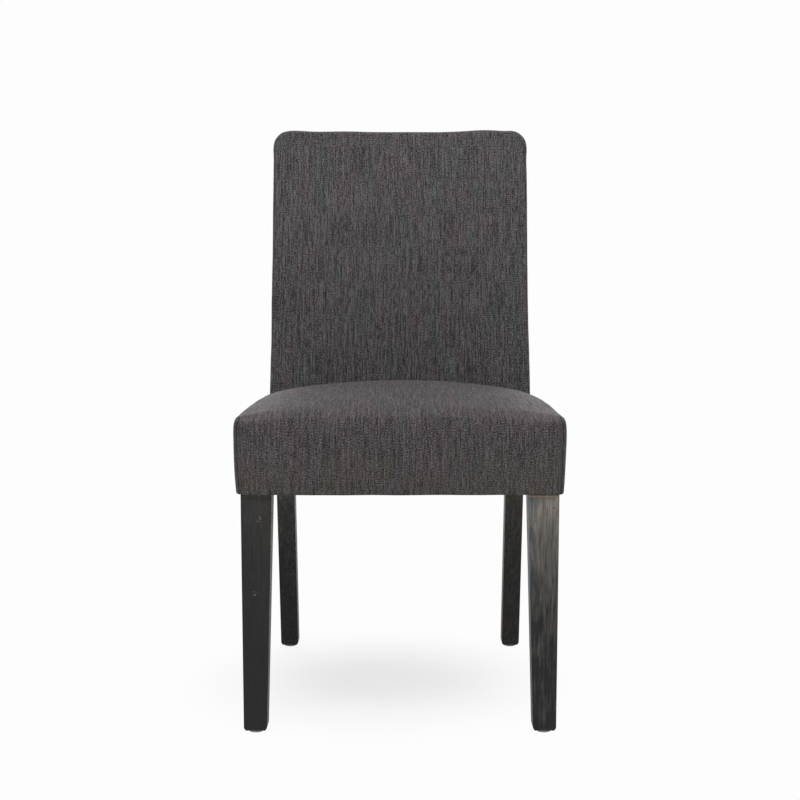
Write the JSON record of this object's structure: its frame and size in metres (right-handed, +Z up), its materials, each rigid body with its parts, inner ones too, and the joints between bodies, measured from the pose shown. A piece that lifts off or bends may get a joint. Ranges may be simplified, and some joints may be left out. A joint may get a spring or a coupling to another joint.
{
  "type": "upholstered dining chair",
  "caption": "Armless dining chair with a padded box seat and a raked padded back in dark heathered fabric, on black tapered wooden legs.",
  "frame": {"origin": "centre of the bounding box's footprint, on the floor", "axes": "+Z up, -Y towards the front of the seat, +X to the right of someone who faces the chair"},
  "size_m": [0.4794, 0.5578, 0.911],
  "materials": {
    "charcoal_fabric": "heathered woven",
    "black_stained_wood": "satin stain",
    "frame_wood": "sawn",
    "dowel_wood": "turned",
    "hardboard": "pressed",
    "webbing": "woven",
    "foam": "open cell",
    "wadding": "matted",
    "dust_cloth": "non-woven",
    "glide_plastic": "moulded",
    "zinc_steel": "zinc plated"
  },
  "bodies": {
    "root": {"front_left_leg": "black_stained_wood", "front_right_leg": "black_stained_wood", "rear_left_leg": "black_stained_wood", "rear_right_leg": "black_stained_wood", "front_rail": "frame_wood", "rear_rail": "frame_wood", "left_side_rail": "frame_wood", "right_side_rail": "frame_wood", "left_back_stile": "frame_wood", "right_back_stile": "frame_wood", "back_top_rail": "frame_wood", "back_bottom_rail": "frame_wood", "front_left_corner_block": "frame_wood", "front_right_corner_block": "frame_wood", "seat_webbing_lengthwise": "webbing", "seat_webbing_crosswise": "webbing", "back_webbing": "webbing", "seat_foam": "foam", "seat_wadding": "wadding", "seat_cover": "charcoal_fabric", "back_foam": "foam", "back_wadding": "wadding", "back_cover": "charcoal_fabric", "outside_back_panel": "charcoal_fabric", "back_board": "hardboard", "dust_cover": "dust_cloth", "leg_glides": "glide_plastic", "glide_nails": "zinc_steel", "leg_hanger_bolts": "zinc_steel", "hanger_bolt_washers": "zinc_steel", "hanger_bolt_nuts": "zinc_steel", "rear_leg_bolts": "zinc_steel", "rear_leg_washers": "zinc_steel", "rear_leg_inserts": "zinc_steel", "corner_block_screws": "zinc_steel", "stile_screws": "zinc_steel", "seat_frame_dowels": "dowel_wood", "back_frame_dowels": "dowel_wood"}
  },
  "joints": []
}
